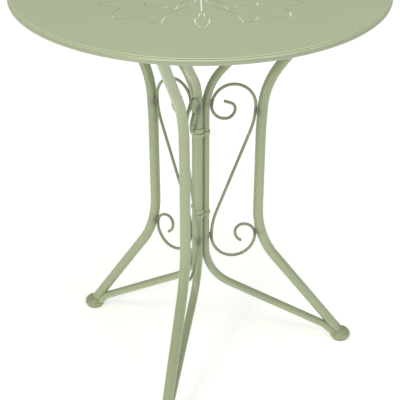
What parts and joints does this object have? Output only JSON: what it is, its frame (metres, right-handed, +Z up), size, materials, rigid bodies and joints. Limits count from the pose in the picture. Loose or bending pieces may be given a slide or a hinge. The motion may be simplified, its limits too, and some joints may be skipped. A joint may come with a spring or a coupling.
{
  "type": "bistro table",
  "caption": "Round metal bistro table with a flower-slotted top on three hinged tube leg frames with scrolls and ball feet.",
  "frame": {"origin": "on the floor, under the centre of the round top", "axes": "+Z up, -Y to the front; the front leg frame stands at 256.45 degrees from +X, the right one at 13.5 and the left one at 139.2"},
  "size_m": [0.5996, 0.5996, 0.7],
  "materials": {
    "top_paint": "satin sage-green powder coat on steel sheet",
    "frame_paint": "satin sage-green powder coat on steel tube and rod",
    "foot_paint": "satin sage-green powder coat on a ball foot",
    "zinc": "bright zinc plating"
  },
  "bodies": {
    "top_and_front_frame": {"table_top": "top_paint", "rim_hoop": "frame_paint", "outer_stud_1": "zinc", "outer_stud_2": "zinc", "outer_nut_1": "zinc", "outer_nut_2": "zinc", "inner_stud_1": "zinc", "inner_stud_2": "zinc", "inner_nut_1": "zinc", "inner_nut_2": "zinc", "outer_catch_left": "frame_paint", "inner_catch_left": "frame_paint", "outer_catch_right": "frame_paint", "inner_catch_right": "frame_paint", "upper_hinge_left": "frame_paint", "lower_hinge_left": "frame_paint", "upper_hinge_right": "frame_paint", "lower_hinge_right": "frame_paint", "outer_tube_front": "frame_paint", "inner_tube_front": "frame_paint", "scroll_front": "frame_paint", "foot_front": "foot_paint", "outer_top_pad_front": "frame_paint", "inner_top_pad_front": "frame_paint"},
    "left_frame": {"outer_tube_left": "frame_paint", "inner_tube_left": "frame_paint", "scroll_left": "frame_paint", "foot_left": "foot_paint", "outer_top_pad_left": "frame_paint", "inner_top_pad_left": "frame_paint"},
    "right_frame": {"outer_tube_right": "frame_paint", "inner_tube_right": "frame_paint", "scroll_right": "frame_paint", "foot_right": "foot_paint", "outer_top_pad_right": "frame_paint", "inner_top_pad_right": "frame_paint"}
  },
  "joints": [
    {"name": "left_frame_swing", "type": "hinge", "parent": "top_and_front_frame", "child": "left_frame", "pos_m": [-0.00689, 0.00595, 0.38], "axis": [0, 0, 1], "range_deg": [0, 105]},
    {"name": "right_frame_swing", "type": "hinge", "parent": "top_and_front_frame", "child": "right_frame", "pos_m": [0.00885, 0.00212, 0.38], "axis": [0, 0, 1], "range_deg": [-104, 0]}
  ]
}
